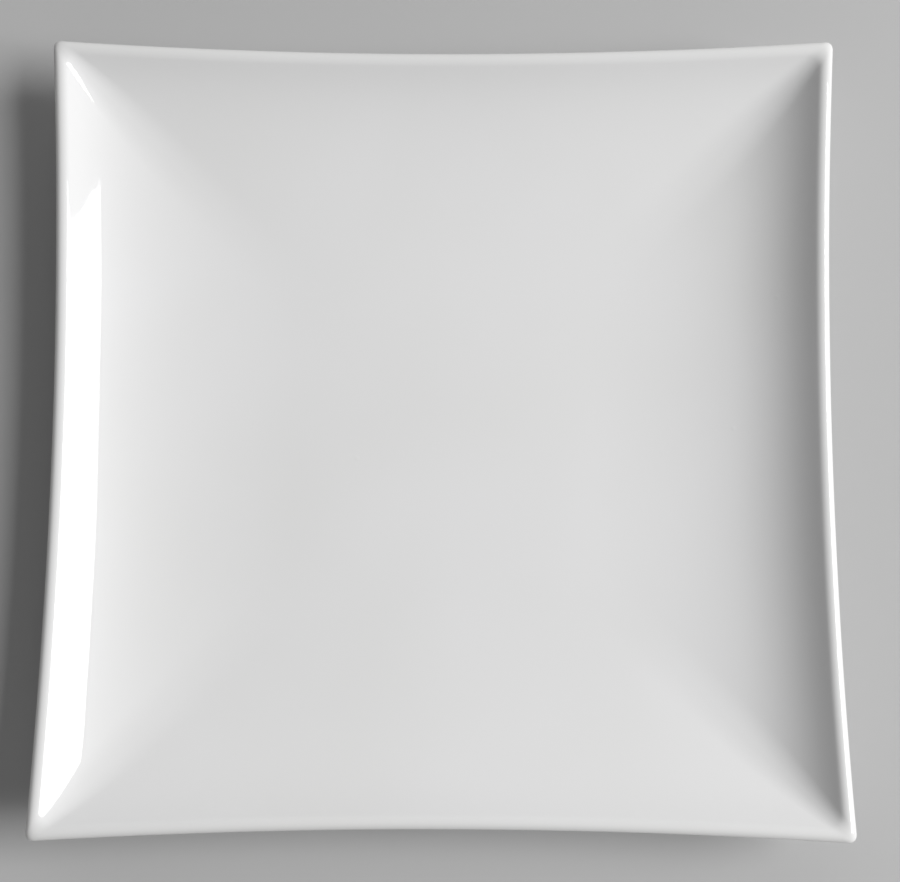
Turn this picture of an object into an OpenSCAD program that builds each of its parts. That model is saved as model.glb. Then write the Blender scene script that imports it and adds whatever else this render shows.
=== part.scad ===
// Square salad plate: a pressed porcelain body under two coats of glaze.
// Millimetres, +Z up. The origin is the centre of the foot, on the surface that the plate stands on.
// Sizes are those of the glazed plate. The clay body lies one glaze thickness inside them.

/* [Outline] */
// Overall width across the corner tips, along a side
side = 210; // [180:1:280]
// How far the middle of each side is drawn in from the corner tips
side_bow = 2.8; // [0.5:0.1:8]
// Radius of a corner tip in plan
tip_radius = 2.2; // [1.5:0.1:6]

/* [Dish] */
// Side of the flat well in the middle
well_side = 80; // [70:1:120]
// Corner radius of the flat well, and of the creases that run from it almost to the tips
well_corner_radius = 8; // [4:1:24]
// Height of the wall above the well, at the middle of a side
dish_depth = 12; // [8:0.5:24]
// Slope of the wall where it meets the lip
rim_angle = 40; // [24:1:55]
// How far the corner tips rise above the middle of a side
corner_lift = 1.5; // [0:0.1:6]
// How long the curve stays close to the level of the well
floor_tightness = 1; // [0.3:0.05:1]
// How long the curve stays close to the slope of the rim
wall_tightness = 0.4; // [0.3:0.05:1]

/* [Wall] */
// Thickness of the plate in the well
floor_thickness = 4.6; // [3:0.1:8]
// Thickness of the rounded lip
lip_thickness = 4.2; // [2.5:0.1:6]
// Radius where the wall turns over into the lip
lip_shoulder = 2.9; // [1:0.1:6]

/* [Foot] */
// Outer side of the foot ring, where it stands
foot_side = 128; // [100:1:150]
// Outer corner radius of the foot ring
foot_corner_radius = 13; // [8:1:24]
// Width of the foot ring, where it stands
foot_width = 4.6; // [3:0.1:8]
// Clear height under the well, inside the foot ring
foot_height = 2.6; // [2:0.1:6]
// Draft of the foot's flanks
foot_draft = 14; // [2:1:30]
// Radius of the two edges that the foot stands on
foot_edge_radius = 0.7; // [0.3:0.1:1]
// Radius where the foot's flanks run into the underside
foot_fillet = 1.2; // [0.6:0.1:1.6]

/* [Glaze] */
// Thickness of the glaze
glaze_thickness = 0.3; // [0.1:0.05:0.6]
// Height of the band that is wiped clean of glaze, above the rounded edges of the foot
bare_band = 0.3; // [0.1:0.05:0.5]

/* [Hidden] */

// Points along each side and round each corner of a ring, and rings along each stretch of the section
SIDE_STEPS = 8;
CORNER_STEPS = 8;
WALL_STEPS = 10;
LIP_STEPS = 8;
FILLET_STEPS = 3;
RING_POINTS = 4 * (SIDE_STEPS + CORNER_STEPS);
BISECTIONS = 24;
CUT_MARGIN = 1;
// How close to the rim the corners of the rings begin to tighten towards the tips
CORNER_EASE = 14;
// Run of a corner's easing curve along each side, as a multiple of the round corner that is cut as deep
CORNER_REACH = 4 * (1 - sqrt(1 / 2));
// A fillet takes up no more than this share of the flank that it runs into
FILLET_SHARE = 0.8;

rim_half = side / 2 - side_bow;
well_half = well_side / 2;
foot_half = foot_side / 2;
well_z = foot_height + floor_thickness;
lip_radius = (lip_thickness - lip_shoulder * (1 - cos(rim_angle))) / (1 + cos(rim_angle));
draft_run = tan(foot_draft);
glaze_line = foot_edge_radius + bare_band;

// Section of the wall: a curve from the level well to the sloping rim
rim_normal = [-sin(rim_angle), cos(rim_angle)];
wall_foot = [well_half, well_z];
wall_head = [rim_half - lip_radius - lip_shoulder * sin(rim_angle), well_z + dish_depth];
wall_knee = [wall_head.x - dish_depth / tan(rim_angle), well_z];
shoulder_centre = wall_head - lip_shoulder * rim_normal;
lip_centre = shoulder_centre + [0, lip_shoulder - lip_radius];
wall_controls = [
    wall_foot,
    wall_foot + floor_tightness * (wall_knee - wall_foot),
    wall_head + wall_tightness * (wall_knee - wall_head),
    wall_head
];

function wall_curve(u) =
    let (c = wall_controls, v = 1 - u)
    v * v * v * c[0] + 3 * v * v * u * c[1] + 3 * v * u * u * c[2] + u * u * u * c[3];
function wall_slope(u) =
    let (c = wall_controls, v = 1 - u)
    v * v * (c[1] - c[0]) + 2 * v * u * (c[2] - c[1]) + u * u * (c[3] - c[2]);
function wall_normal(u) =
    let (d = wall_slope(u))
    [-d.y, d.x] / norm(d);
function thickness(u) = floor_thickness + (lip_thickness - floor_thickness) * max(u, 0);

// Points of the section, moved outwards by grow. Below u = 0 the underside runs level to the middle.
function dish_point(u, grow) = wall_curve(u) + grow * wall_normal(u);
function lip_point(turn, grow) =
    turn > 90
        ? shoulder_centre + (lip_shoulder + grow) * [cos(turn), sin(turn)]
        : lip_centre + (lip_radius + grow) * [cos(turn), sin(turn)];
function under_point(u, grow) =
    u < 0
        ? [well_half * (1 + u), foot_height - grow]
        : wall_curve(u) - (thickness(u) + grow) * wall_normal(u);
function flank_x(z, grow) = foot_half + z * draft_run + grow;
function flank_point(z, grow) = [flank_x(z, grow), z];

// The place on the underside that lies a given way outside the foot's flank
function past_flank(u, grow, way) =
    let (p = under_point(u, grow))
    p.x - flank_x(p.y, grow) - way;
function meet(grow, way, low = -1, high = 1, left = BISECTIONS) =
    let (mid = (low + high) / 2)
    left == 0 ? mid
    : past_flank(mid, grow, way) > 0 ? meet(grow, way, low, mid, left - 1)
    : meet(grow, way, mid, high, left - 1);

function fillet_at(height) = min(foot_fillet, FILLET_SHARE * (height - glaze_line));
function bend(from, knee, to, t) = (1 - t) * (1 - t) * from + 2 * (1 - t) * t * knee + t * t * to;

// A station is one ring of the plate: half width at the middle of a side, height, bow, corner radius and lift
function dish_station(p) =
    let (
        s = max(0, min(1, (p.x - well_half) / (rim_half - well_half))),
        opening = pow(1 - pow(s, CORNER_EASE), 2),
        radius = tip_radius + (well_corner_radius - tip_radius) * opening
    )
    [p.x, p.y, side_bow * s * s, radius, corner_lift * s * s];
function foot_station(p) = [p.x, p.y, 0, foot_corner_radius + p.x - foot_half, 0];

// Sections from the edge of the well, over the lip and down the outside
function dish_stations(grow) = [
    for (i = [0:WALL_STEPS]) dish_station(dish_point(i / WALL_STEPS, grow)),
    for (i = [1:LIP_STEPS]) dish_station(lip_point(90 + rim_angle - 180 * i / LIP_STEPS, grow))
];
function outside_stations(grow) =
    let (
        knee = under_point(meet(grow, 0), grow),
        fillet = fillet_at(knee.y),
        start = meet(grow, fillet),
        end = flank_point(knee.y - fillet, grow)
    )
    [
        for (i = [1:WALL_STEPS]) dish_station(under_point(1 + (start - 1) * i / WALL_STEPS, grow)),
        for (i = [1:FILLET_STEPS]) foot_station(bend(under_point(start, grow), knee, end, i / FILLET_STEPS)),
        foot_station(flank_point(glaze_line, grow))
    ];
// The foot's outer edge, in the clay
function foot_edge_stations(grow) =
    let (
        r = foot_edge_radius,
        centre = flank_point(r - r * sin(foot_draft), grow) - r * [cos(foot_draft), -sin(foot_draft)]
    )
    [
        for (i = [0:FILLET_STEPS])
            let (turn = -foot_draft - (90 - foot_draft) * i / FILLET_STEPS)
            foot_station(centre + r * [cos(turn), sin(turn)])
    ];

// Sections of the recess inside the foot ring, from its ceiling down
function recess_x(z, grow) = foot_half - foot_width - z * draft_run + grow;
function recess_point(z, grow) = [recess_x(z, grow), z];
function recess_stations(grow) =
    let (
        ceiling = foot_height + grow,
        fillet = fillet_at(ceiling),
        knee = recess_point(ceiling, grow),
        start = knee - [fillet, 0],
        end = recess_point(ceiling - fillet, grow)
    )
    [
        for (i = [0:FILLET_STEPS]) foot_station(bend(start, knee, end, i / FILLET_STEPS)),
        foot_station(recess_point(glaze_line, grow))
    ];
function recess_edge_stations(grow) =
    let (
        r = foot_edge_radius,
        centre = recess_point(r - r * sin(foot_draft), grow) + r * [cos(foot_draft), sin(foot_draft)]
    )
    [
        for (i = [0:FILLET_STEPS])
            let (turn = 180 + foot_draft + (90 - foot_draft) * i / FILLET_STEPS)
            foot_station(centre + r * [cos(turn), sin(turn)])
    ];

function turned(p, quarter) =
    quarter == 0 ? p : turned([-p.y, p.x], quarter - 1);

// One ring: four drawn-in sides that ease into the corners
function ring(station) =
    let (
        m = station[0],
        z = station[1],
        bow = station[2],
        reach = CORNER_REACH * station[3],
        lift = station[4],
        run = 2 * bow / (m + bow - reach),
        apex = (m + run * reach / 2) / (1 - run / 2),
        side_end = apex - reach,
        side_x = m + run / 2 * side_end,
        tip = bend(side_x, apex, side_end, 1 / 2),
        quarter = [
            for (i = [0:SIDE_STEPS - 1])
                let (y = side_end * (2 * i / SIDE_STEPS - 1))
                [m + run / (2 * side_end) * y * y, y],
            for (i = [0:CORNER_STEPS - 1])
                bend([side_x, side_end], [apex, apex], [side_end, side_x], i / CORNER_STEPS)
        ]
    )
    [
        for (k = [0:3], p = quarter)
            let (xy = turned(p, k))
            [xy.x, xy.y, z + lift * pow(min(abs(p.x), abs(p.y)) / tip, 2)]
    ];

// Two triangles for each cell between rings, split along its shorter diagonal
function cell(points, a, b, c, d) =
    norm(points[a] - points[c]) < norm(points[b] - points[d])
        ? [[a, b, c], [a, c, d]]
        : [[a, b, d], [b, c, d]];

// A closed solid through the rings, level at both ends, where a point in the middle closes it
module loft(stations) {
    last = len(stations) - 1;
    end = last * RING_POINTS;
    first_middle = end + RING_POINTS;
    points = [
        for (s = stations) each ring(s),
        [0, 0, stations[0][1]],
        [0, 0, stations[last][1]]
    ];
    faces = [
        for (i = [0:RING_POINTS - 1])
            let (next = (i + 1) % RING_POINTS)
            each [[first_middle, next, i], [first_middle + 1, end + i, end + next]],
        for (k = [0:last - 1], i = [0:RING_POINTS - 1])
            let (
                next = (i + 1) % RING_POINTS,
                low = k * RING_POINTS,
                high = low + RING_POINTS
            )
            each cell(points, low + i, low + next, high + next, high + i)
    ];
    polyhedron(points, faces, convexity = 6);
}

function backwards(list) = [for (i = [len(list) - 1:-1:0]) list[i]];

// The fired clay: dish, lip and foot in one piece, with a recess that leaves the foot ring
module porcelain_body() {
    grow = -glaze_thickness;
    edge = recess_edge_stations(-grow);
    mouth = edge[len(edge) - 1];
    color("linen")
    difference() {
        loft([
            each dish_stations(grow),
            each outside_stations(grow),
            each foot_edge_stations(grow)
        ]);
        loft([
            each recess_stations(-grow),
            each edge,
            [mouth[0], -CUT_MARGIN, mouth[2], mouth[3], mouth[4]]
        ]);
    }
}

// The glass coat over the well, the walls, the lip and the outside
module face_glaze() {
    color("white")
    loft([
        each dish_stations(0),
        each outside_stations(0),
        each backwards(outside_stations(-glaze_thickness)),
        each backwards(dish_stations(-glaze_thickness))
    ]);
}

// The glass coat inside the foot ring
module base_glaze() {
    color("whitesmoke")
    loft([
        each recess_stations(glaze_thickness),
        each backwards(recess_stations(0))
    ]);
}

porcelain_body();
face_glaze();
base_glaze();
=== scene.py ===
# Square salad plate: glazed porcelain on a pale floor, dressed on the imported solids. Units are metres.
from collections import namedtuple
import math

import bpy
import numpy as np
from mathutils import Euler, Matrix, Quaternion, Vector


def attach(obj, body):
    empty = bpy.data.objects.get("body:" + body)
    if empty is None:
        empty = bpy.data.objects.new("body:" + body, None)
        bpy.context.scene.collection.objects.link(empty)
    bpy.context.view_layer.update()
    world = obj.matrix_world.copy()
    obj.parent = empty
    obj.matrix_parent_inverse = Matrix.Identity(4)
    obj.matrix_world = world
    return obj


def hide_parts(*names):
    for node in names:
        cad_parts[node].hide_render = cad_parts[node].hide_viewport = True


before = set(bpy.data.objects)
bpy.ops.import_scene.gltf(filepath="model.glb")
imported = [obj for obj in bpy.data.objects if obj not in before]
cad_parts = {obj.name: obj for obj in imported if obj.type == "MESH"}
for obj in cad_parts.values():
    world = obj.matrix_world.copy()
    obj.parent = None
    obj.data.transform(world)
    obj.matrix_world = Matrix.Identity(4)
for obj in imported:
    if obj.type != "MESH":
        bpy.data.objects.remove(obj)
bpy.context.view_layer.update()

MM = 0.001

# Outline and dish of the glazed plate
SIDE = 210 * MM
SIDE_BOW = 2.8 * MM
TIP_RADIUS = 2.2 * MM
WELL_SIDE = 80 * MM
WELL_CORNER_RADIUS = 8 * MM
CORNER_EASE = 9
DISH_DEPTH = 12 * MM
RIM_ANGLE = math.radians(40)
CORNER_LIFT = 1.5 * MM
FLOOR_TIGHTNESS = 1.0
WALL_TIGHTNESS = 0.4

# An eased corner reaches this many radii along each side, so that it turns as deep as a round one
CORNER_REACH = 4 * (1 - math.sqrt(0.5))

# Wall, foot and glaze
FLOOR_THICKNESS = 4.6 * MM
LIP_THICKNESS = 4.2 * MM
LIP_SHOULDER = 2.9 * MM
FOOT_SIDE = 128 * MM
FOOT_CORNER_RADIUS = 13 * MM
FOOT_WIDTH = 4.6 * MM
FOOT_HEIGHT = 2.6 * MM
FOOT_DRAFT = math.radians(14)
FOOT_EDGE_RADIUS = 0.7 * MM
FOOT_FILLET = 1.2 * MM
GLAZE = 0.3 * MM
BARE_BAND = 0.3 * MM
GLAZE_ROLL = 0.35 * MM

# Slow waves that firing leaves in the plate: direction, length and phase of each, and their height
WAVES = (
    (math.radians(38), 62 * MM, 0.4),
    (math.radians(-52), 47 * MM, 2.1),
    (math.radians(14), 85 * MM, 4.0),
)
WAVE_HEIGHT = 0.03 * MM
GLAZE_LINE_WANDER = 0.05 * MM

# Looks of the glaze: its tones by depth, and how far an edge draws that depth down
GLAZE_TONES = (
    (0, (0.786, 0.784, 0.778)),
    (0.35, (0.792, 0.792, 0.790)),
    (0.65, (0.808, 0.808, 0.810)),
)
EDGE_PULL = 0.4
GLAZE_IOR = 1.5
GLAZE_ROUGHNESS = (0.03, 0.06)
CLOUD_SIZE = 55 * MM
CLOUD_DETAIL = 2
SMEAR_SIZE = 24 * MM
SMEAR_DETAIL = 4
SMEAR_RANGE = (0.35, 0.7)
PEEL_SIZE = 2.5 * MM
PEEL_DETAIL = 1
PEEL_HEIGHT = 0.003 * MM
PIMPLES = (
    (-23.1 * MM, -6.6 * MM, 7.2 * MM),
    (89.9 * MM, 36.5 * MM, 13.7 * MM),
    (78.2 * MM, 1.4 * MM, 10.1 * MM),
)
PIMPLE_RADIUS = 0.9 * MM
PIMPLE_HEIGHT = 0.03 * MM

# Looks of the bare clay: its tones by grain, and how far rubbing draws them towards grey
CLAY_TONES = (
    (0, (0.52, 0.51, 0.49)),
    (0.35, (0.70, 0.68, 0.63)),
    (0.65, (0.78, 0.76, 0.71)),
)
RUB_PULL = 0.35
CLAY_ROUGHNESS = (0.8, 0.5)
GRAIN_SIZE = 0.5 * MM
GRAIN_DETAIL = 3
GRAIN_HEIGHT = 0.01 * MM
RUB_SIZE = 3 * MM
RUB_DETAIL = 4
RUB_RANGE = (0.4, 0.65)
RUB_HEIGHT = 0.25 * MM

# Stage: floor, backdrop and camera
FLOOR_HALF = 3
FLOOR_FADE = (0.3, 1.2)
FLOOR_TONE = (0.5, 0.5, 0.5, 1)
FLOOR_ROUGHNESS = 0.9
BACKDROP = 0.42
FRAME_WIDTH = 900
FOCAL_PIXELS = 1235
SENSOR_WIDTH = 36
CAMERA_PLACE = (0.00256, -0.03598, 0.34004)
CAMERA_TURN = (5.839, 0.067, 0.128)

# Lights: one large lamp, and glows of the world by direction and strength.
# A direction is an angle round from +X and an angle up, in degrees.
KEY_DIRECTION = (1.7, 39.5)
KEY_DISTANCE = 1.93
KEY_ROLL = -5.5
KEY_SIZE = (1.24, 1.07)
KEY_POWER = 43.4
GLOW_SPREAD = 6
GLOWS = (
    ((90, 20), 1.13),
    ((270, 20), 0.67),
)

# How finely the meshes are divided, and how often a place is halved to find it
SIDE_STEPS = 40
CORNER_STEPS = 20
WELL_STEPS = 16
WALL_STEPS = 64
LIP_STEPS = 28
UNDER_STEPS = 48
FILLET_STEPS = 8
EDGE_STEPS = 8
HALVINGS = 40

RIM_HALF = SIDE / 2 - SIDE_BOW
WELL_HALF = WELL_SIDE / 2
FOOT_HALF = FOOT_SIDE / 2
WELL_Z = FOOT_HEIGHT + FLOOR_THICKNESS
RIM_FALL = 1 - math.cos(RIM_ANGLE)
LIP_RADIUS = (LIP_THICKNESS - LIP_SHOULDER * RIM_FALL) / (2 - RIM_FALL)
DRAFT_RUN = math.tan(FOOT_DRAFT)
GLAZE_LINE = FOOT_EDGE_RADIUS + BARE_BAND

# The section of the dish, as (distance from the centre, height)
RIM_NORMAL = np.array([-math.sin(RIM_ANGLE), math.cos(RIM_ANGLE)])
WALL_FOOT = np.array([WELL_HALF, WELL_Z])
WALL_HEAD = np.array([RIM_HALF - LIP_RADIUS - LIP_SHOULDER * math.sin(RIM_ANGLE), WELL_Z + DISH_DEPTH])
WALL_KNEE = np.array([WALL_HEAD[0] - DISH_DEPTH / math.tan(RIM_ANGLE), WELL_Z])
SHOULDER_CENTRE = WALL_HEAD - LIP_SHOULDER * RIM_NORMAL
LIP_CENTRE = SHOULDER_CENTRE + np.array([0, LIP_SHOULDER - LIP_RADIUS])
CONTROLS = (
    WALL_FOOT,
    WALL_FOOT + FLOOR_TIGHTNESS * (WALL_KNEE - WALL_FOOT),
    WALL_HEAD + WALL_TIGHTNESS * (WALL_KNEE - WALL_HEAD),
    WALL_HEAD,
)


def wall_curve(u):
    """The face of the wall, from the well at 0 to the lip at 1."""
    a, b, c, d = CONTROLS
    v = 1 - u
    return v ** 3 * a + 3 * v * v * u * b + 3 * v * u * u * c + u ** 3 * d


def wall_normal(u):
    a, b, c, d = CONTROLS
    v = 1 - u
    slope = v * v * (b - a) + 2 * v * u * (c - b) + u * u * (d - c)
    return np.array([-slope[1], slope[0]]) / np.linalg.norm(slope)


def thickness(u):
    return FLOOR_THICKNESS + (LIP_THICKNESS - FLOOR_THICKNESS) * max(u, 0)


def dish_point(u, grow):
    return wall_curve(u) + grow * wall_normal(u)


def lip_point(turn, grow):
    way = np.array([math.cos(turn), math.sin(turn)])
    if turn > math.pi / 2:
        return SHOULDER_CENTRE + (LIP_SHOULDER + grow) * way
    return LIP_CENTRE + (LIP_RADIUS + grow) * way


def under_point(u, grow):
    """The underside of the wall, and of the well where u is below 0."""
    if u < 0:
        return np.array([WELL_HALF * (1 + u), FOOT_HEIGHT - grow])
    return wall_curve(u) - (thickness(u) + grow) * wall_normal(u)


def flank_point(z, grow):
    return np.array([FOOT_HALF + z * DRAFT_RUN + grow, z])


def recess_point(z, grow):
    return np.array([FOOT_HALF - FOOT_WIDTH - z * DRAFT_RUN + grow, z])


def meet(grow, way):
    """The place on the underside that lies a given way outside the foot's flank."""
    low, high = -1.0, 1.0
    for _ in range(HALVINGS):
        middle = (low + high) / 2
        point = under_point(middle, grow)
        if point[0] - flank_point(point[1], grow)[0] > way:
            high = middle
        else:
            low = middle
    return (low + high) / 2


def bend(start, knee, end, t):
    return (1 - t) ** 2 * start + 2 * (1 - t) * t * knee + t * t * end


# One ring of the plate. Thin says how far the glaze draws back there, and wander how much it waves in height.
Station = namedtuple("Station", "half height bow radius lift thin wander", defaults=(0, 0))


def well_station(share, grow):
    return Station(WELL_HALF * share, WELL_Z + grow, 0, WELL_CORNER_RADIUS * share, 0)


def dish_station(p, thin=0):
    s = min(1, max(0, (p[0] - WELL_HALF) / (RIM_HALF - WELL_HALF)))
    radius = TIP_RADIUS + (WELL_CORNER_RADIUS - TIP_RADIUS) * (1 - s ** CORNER_EASE) ** 2
    return Station(p[0], p[1], SIDE_BOW * s * s, radius, CORNER_LIFT * s * s, thin)


def foot_station(p, thin=0, wander=0):
    return Station(p[0], p[1], 0, FOOT_CORNER_RADIUS + p[0] - FOOT_HALF, 0, thin, wander)


def steps(count, first=0):
    return [i / count for i in range(first, count + 1)]


def dish_stations(grow):
    well = [well_station(t, grow) for t in steps(WELL_STEPS, 1)]
    wall = [dish_station(dish_point(u, grow)) for u in steps(WALL_STEPS, 1)]
    turns = [math.pi * t for t in steps(LIP_STEPS, 1)]
    first_turn = math.pi / 2 + RIM_ANGLE
    lip = [dish_station(lip_point(first_turn - turn, grow), math.sin(turn)) for turn in turns]
    return well + wall + lip


def outside_stations(grow):
    knee = under_point(meet(grow, 0), grow)
    start = meet(grow, FOOT_FILLET)
    end = flank_point(knee[1] - FOOT_FILLET, grow)
    under = [dish_station(under_point(1 + (start - 1) * t, grow)) for t in steps(UNDER_STEPS, 1)]
    fillet = [bend(under_point(start, grow), knee, end, t) for t in steps(FILLET_STEPS, 1)]
    return under + [foot_station(p) for p in fillet]


def recess_stations(grow):
    ceiling = FOOT_HEIGHT + grow
    knee = recess_point(ceiling, grow)
    start = knee - np.array([FOOT_FILLET, 0])
    end = recess_point(ceiling - FOOT_FILLET, grow)
    return [foot_station(bend(start, knee, end, t)) for t in steps(FILLET_STEPS)]


def glaze_edge_stations(flank, sign):
    """The rounded edge where a coat ends on the foot, from its face to the clay."""
    stations = []
    for t in steps(EDGE_STEPS):
        turn = math.pi / 2 * t
        z = GLAZE_LINE + GLAZE_ROLL * (1 - math.sin(turn))
        thin = 1 - math.cos(turn)
        stations.append(foot_station(flank(z, sign * GLAZE * thin), thin, GLAZE_LINE_WANDER * thin))
    return stations


def foot_edge_stations():
    """The bare edges and the standing face of the foot, from its outer flank to the recess."""
    r = FOOT_EDGE_RADIUS
    lean = np.array([math.cos(FOOT_DRAFT), math.sin(FOOT_DRAFT)])
    outer = flank_point(r - r * lean[1], -GLAZE) - r * lean * (1, -1)
    inner = recess_point(r - r * lean[1], GLAZE) + r * lean
    turns = [FOOT_DRAFT + (math.pi / 2 - FOOT_DRAFT) * t for t in steps(EDGE_STEPS)]
    out = [outer + r * np.array([math.cos(a), -math.sin(a)]) for a in turns]
    back = [inner + r * np.array([-math.cos(a), -math.sin(a)]) for a in turns[::-1]]
    return [foot_station(p) for p in out + back]


def waves(x, y):
    total = 0
    for turn, length, phase in WAVES:
        along = x * math.cos(turn) + y * math.sin(turn)
        total = total + np.sin(2 * math.pi * along / length + phase)
    return total


def ring(station):
    """Four drawn-in sides that ease into the corners, slightly uneven above the foot."""
    m, bow = station.half, station.bow
    reach = CORNER_REACH * station.radius
    run = 2 * bow / (m + bow - reach)
    apex = (m + run * reach / 2) / (1 - run / 2)
    side_end = apex - reach
    side_x = m + run / 2 * side_end
    y = side_end * (2 * np.arange(SIDE_STEPS) / SIDE_STEPS - 1)
    t = np.arange(CORNER_STEPS) / CORNER_STEPS
    x = np.concatenate([m + run / (2 * side_end) * y * y, bend(side_x, apex, side_end, t)])
    y = np.concatenate([y, bend(side_end, apex, side_x, t)])
    tip = bend(side_x, apex, side_end, 0.5)
    rise = station.lift * (np.minimum(abs(x), abs(y)) / tip) ** 2
    above_foot = min(1, max(0, (station.height - FOOT_HEIGHT) / FLOOR_THICKNESS))
    uneven = WAVE_HEIGHT * above_foot + station.wander
    quarters = [(x, y), (-y, x), (-x, -y), (y, -x)]
    return np.concatenate([
        np.stack([a, b, station.height + rise + uneven * waves(a, b)], 1) for a, b in quarters
    ])


def loft(name, stations):
    """A closed mesh through the stations' rings, with a middle point at each end."""
    rings = [ring(s) for s in stations]
    count = len(rings[0])
    middles = [rings[0].mean(0), rings[-1].mean(0)]
    points = np.concatenate(rings + [middles])
    first_middle = len(points) - 2
    end = (len(rings) - 1) * count
    faces = []
    for i in range(count):
        j = (i + 1) % count
        faces.append((first_middle, i, j))
        faces.append((first_middle + 1, end + j, end + i))
        for k in range(0, end, count):
            faces.append((k + i, k + count + i, k + count + j, k + j))
    mesh = bpy.data.meshes.new(name)
    mesh.from_pydata(points.tolist(), [], faces)
    mesh.validate()
    mesh.shade_smooth()
    thin = mesh.attributes.new("thin", "FLOAT", "POINT")
    thin.data.foreach_set("value", [s.thin for s in stations for _ in range(count)] + [0, 0])
    piece = bpy.data.objects.new(name, mesh)
    bpy.context.collection.objects.link(piece)
    return piece


def add_node(tree, kind, inputs, **settings):
    """A shader node with its settings, and its inputs linked or set."""
    node = tree.nodes.new("ShaderNode" + kind)
    for name, value in settings.items():
        setattr(node, name, value)
    for socket, value in inputs.items():
        if isinstance(value, bpy.types.NodeSocket):
            tree.links.new(value, node.inputs[socket])
        else:
            node.inputs[socket].default_value = value
    return node


def math_node(tree, operation, *values):
    return add_node(tree, "Math", dict(enumerate(values)), operation=operation).outputs[0]


def vector_value(tree, operation, *vectors):
    return add_node(tree, "VectorMath", dict(enumerate(vectors)), operation=operation).outputs["Value"]


def noise(tree, place, size, detail):
    return add_node(tree, "TexNoise", {"Vector": place, "Scale": 1 / size, "Detail": detail}).outputs["Fac"]


def ranged(tree, value, low, high, first, last):
    """A value that goes from first to last while the given one goes from low to high."""
    limits = {"Value": value, "From Min": low, "From Max": high, "To Min": first, "To Max": last}
    return add_node(tree, "MapRange", limits, interpolation_type="SMOOTHSTEP").outputs["Result"]


def tones(tree, share, stops):
    """A colour that passes through stops, each a share and its tone."""
    ramp = add_node(tree, "ValToRGB", {"Fac": share})
    elements = ramp.color_ramp.elements
    while len(elements) < len(stops):
        elements.new(1)
    for element, (at, tone) in zip(elements, stops):
        element.position = at
        element.color = (*tone, 1)
    return ramp.outputs["Color"]


def new_material(name):
    material = bpy.data.materials.new(name)
    material.use_nodes = True
    tree = material.node_tree
    place = add_node(tree, "TexCoord", {}).outputs["Object"]
    return material, tree, tree.nodes["Principled BSDF"], place


def finish_surface(tree, shader, tone, roughness, height):
    """Links a surface's tone, roughness and relief, which is a height in metres, to its shader."""
    bump = add_node(tree, "Bump", {"Height": height, "Strength": 1, "Distance": 1})
    tree.links.new(tone, shader.inputs["Base Color"])
    tree.links.new(roughness, shader.inputs["Roughness"])
    tree.links.new(bump.outputs["Normal"], shader.inputs["Normal"])


def pimples(tree, place):
    """Small round swellings in the glaze, in metres of height."""
    total = 0
    for spot in PIMPLES:
        way = vector_value(tree, "DISTANCE", place, spot)
        total = math_node(tree, "ADD", ranged(tree, way, 0, PIMPLE_RADIUS, PIMPLE_HEIGHT, 0), total)
    return total


def glaze_material():
    """Glossy white glass: a touch paler where it pooled, and duller and warmer where it draws thin."""
    material, tree, shader, place = new_material("white_glaze")
    thin = add_node(tree, "Attribute", {}, attribute_name="thin").outputs["Fac"]
    depth = math_node(tree, "MULTIPLY_ADD", thin, -EDGE_PULL, noise(tree, place, CLOUD_SIZE, CLOUD_DETAIL))
    smear = noise(tree, place, SMEAR_SIZE, SMEAR_DETAIL)
    gloss = ranged(tree, smear, *SMEAR_RANGE, *GLAZE_ROUGHNESS)
    peel = noise(tree, place, PEEL_SIZE, PEEL_DETAIL)
    height = math_node(tree, "MULTIPLY_ADD", peel, PEEL_HEIGHT, pimples(tree, place))
    finish_surface(tree, shader, tones(tree, depth, GLAZE_TONES), gloss, height)
    shader.inputs["IOR"].default_value = GLAZE_IOR
    return material


def bare_material():
    """Matt fired clay with a fine grain, rubbed grey and smoother where it stands."""
    material, tree, shader, place = new_material("bare_porcelain")
    grain = noise(tree, place, GRAIN_SIZE, GRAIN_DETAIL)
    height = add_node(tree, "SeparateXYZ", {0: place}).outputs["Z"]
    low = ranged(tree, height, 0, RUB_HEIGHT, 1, 0)
    patch = ranged(tree, noise(tree, place, RUB_SIZE, RUB_DETAIL), *RUB_RANGE, 0, 1)
    rub = math_node(tree, "MULTIPLY", low, patch)
    share = math_node(tree, "MULTIPLY_ADD", rub, -RUB_PULL, grain)
    roughness = ranged(tree, rub, 0, 1, *CLAY_ROUGHNESS)
    swell = math_node(tree, "MULTIPLY", grain, GRAIN_HEIGHT)
    finish_surface(tree, shader, tones(tree, share, CLAY_TONES), roughness, swell)
    return material


def dress(piece, node, material):
    """Puts a piece in the place of a solid, with that solid's body and material slot."""
    piece.data.materials.append(material)
    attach(piece, "root")
    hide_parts(node)


glaze = glaze_material()
body = loft("fired_body", dish_stations(-GLAZE) + outside_stations(-GLAZE) + foot_edge_stations()
            + recess_stations(GLAZE)[::-1])
face = loft("face_glaze_coat", dish_stations(0) + outside_stations(0) + glaze_edge_stations(flank_point, -1)
            + outside_stations(-GLAZE)[::-1] + dish_stations(-GLAZE)[::-1])
base = loft("base_glaze_coat", recess_stations(GLAZE) + glaze_edge_stations(recess_point, 1)[::-1]
            + recess_stations(0)[::-1])
dress(body, "porcelain_body", bare_material())
dress(face, "face_glaze", glaze)
dress(base, "base_glaze", glaze)


def seen_rays(tree):
    """1 for rays that show a thing as it is, straight or in a gloss or glass, and 0 for those that light."""
    path = add_node(tree, "LightPath", {}).outputs
    mirrored = math_node(tree, "MAXIMUM", path["Is Glossy Ray"], path["Is Transmission Ray"])
    return math_node(tree, "MAXIMUM", path["Is Camera Ray"], mirrored)


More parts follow.
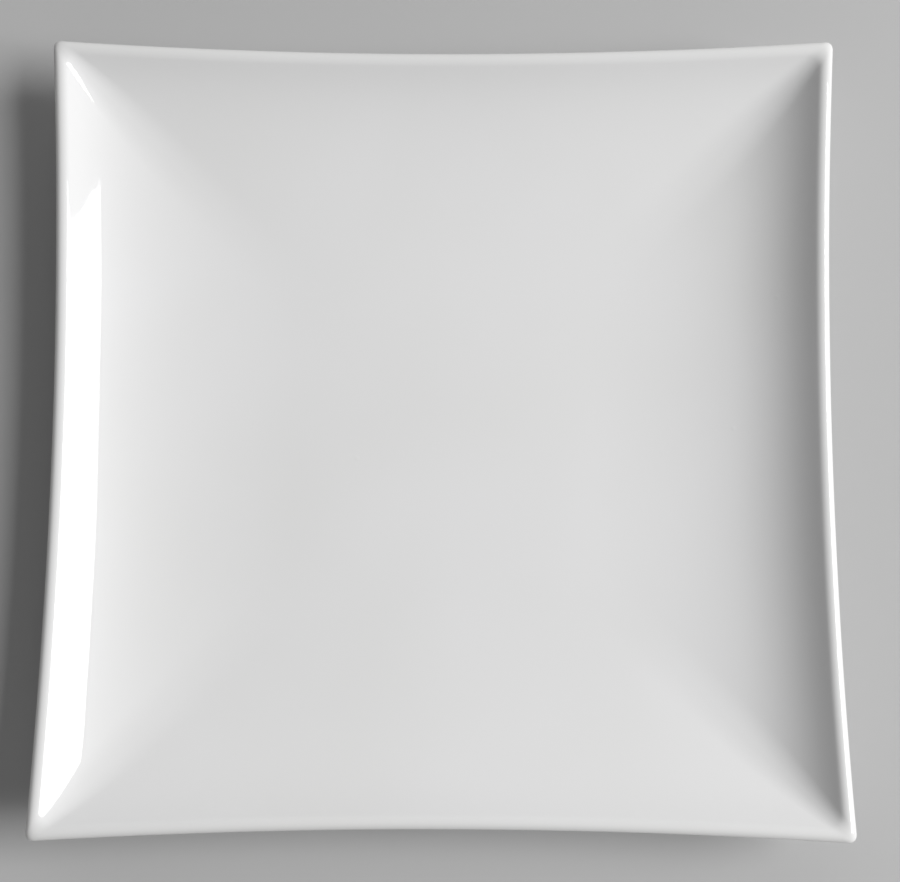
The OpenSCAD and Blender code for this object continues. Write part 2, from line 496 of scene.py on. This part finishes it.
def add_floor():
    """A plain pale floor that fades into the backdrop far from the plate."""
    h = FLOOR_HALF
    mesh = bpy.data.meshes.new("floor")
    mesh.from_pydata([(-h, -h, 0), (h, -h, 0), (h, h, 0), (-h, h, 0)], [], [(0, 1, 2, 3)])
    material, tree, shader, place = new_material("floor")
    shader.inputs["Base Color"].default_value = FLOOR_TONE
    shader.inputs["Roughness"].default_value = FLOOR_ROUGHNESS
    shader.inputs["Specular IOR Level"].default_value = 0
    way = vector_value(tree, "LENGTH", place)
    far = math_node(tree, "MULTIPLY", ranged(tree, way, *FLOOR_FADE, 0, 1), seen_rays(tree))
    clear = add_node(tree, "BsdfTransparent", {})
    faded = add_node(tree, "MixShader", {0: far, 1: shader.outputs[0], 2: clear.outputs[0]})
    tree.links.new(faded.outputs[0], tree.nodes["Material Output"].inputs["Surface"])
    mesh.materials.append(material)
    floor = bpy.data.objects.new("floor", mesh)
    bpy.context.collection.objects.link(floor)


def add_camera():
    lens = bpy.data.cameras.new("camera")
    lens.sensor_width = SENSOR_WIDTH
    lens.lens = SENSOR_WIDTH * FOCAL_PIXELS / FRAME_WIDTH
    camera = bpy.data.objects.new("camera", lens)
    camera.location = CAMERA_PLACE
    camera.rotation_euler = Euler([math.radians(turn) for turn in CAMERA_TURN])
    bpy.context.collection.objects.link(camera)
    bpy.context.scene.camera = camera


def pointing(turn, rise):
    """The unit vector at an angle round from +X and an angle up from the floor, in degrees."""
    turn, rise = math.radians(turn), math.radians(rise)
    return Vector((math.cos(rise) * math.cos(turn), math.cos(rise) * math.sin(turn), math.sin(rise)))


def add_key():
    """A large soft lamp that faces the plate's centre."""
    light = bpy.data.lights.new("key_softbox", "AREA")
    light.shape = "RECTANGLE"
    light.size, light.size_y = KEY_SIZE
    light.energy = KEY_POWER
    lamp = bpy.data.objects.new("key_softbox", light)
    way = pointing(*KEY_DIRECTION)
    spin = Quaternion((0, 0, 1), math.radians(KEY_ROLL))
    lamp.location = way * KEY_DISTANCE
    lamp.rotation_euler = ((-way).to_track_quat("-Z", "Y") @ spin).to_euler()
    bpy.context.collection.objects.link(lamp)


def studio_sky():
    """A soft world that lights by a few broad glows, and is itself seen as a plain backdrop."""
    world = bpy.data.worlds.new("studio")
    bpy.context.scene.world = world
    world.use_nodes = True
    tree = world.node_tree
    background = tree.nodes["Background"]
    background.inputs["Color"].default_value = (1, 1, 1, 1)
    place = add_node(tree, "TexCoord", {}).outputs["Generated"]
    light = 0
    for direction, strength in GLOWS:
        near = vector_value(tree, "DOT_PRODUCT", place, pointing(*direction))
        fall = math_node(tree, "MULTIPLY_ADD", near, GLOW_SPREAD, -GLOW_SPREAD)
        light = math_node(tree, "MULTIPLY_ADD", math_node(tree, "EXPONENT", fall), strength, light)
    change = math_node(tree, "SUBTRACT", BACKDROP, light)
    shown = math_node(tree, "MULTIPLY_ADD", seen_rays(tree), change, light)
    tree.links.new(shown, background.inputs["Strength"])


add_floor()
add_camera()
add_key()
studio_sky()
bpy.context.scene.view_settings.view_transform = "Standard"
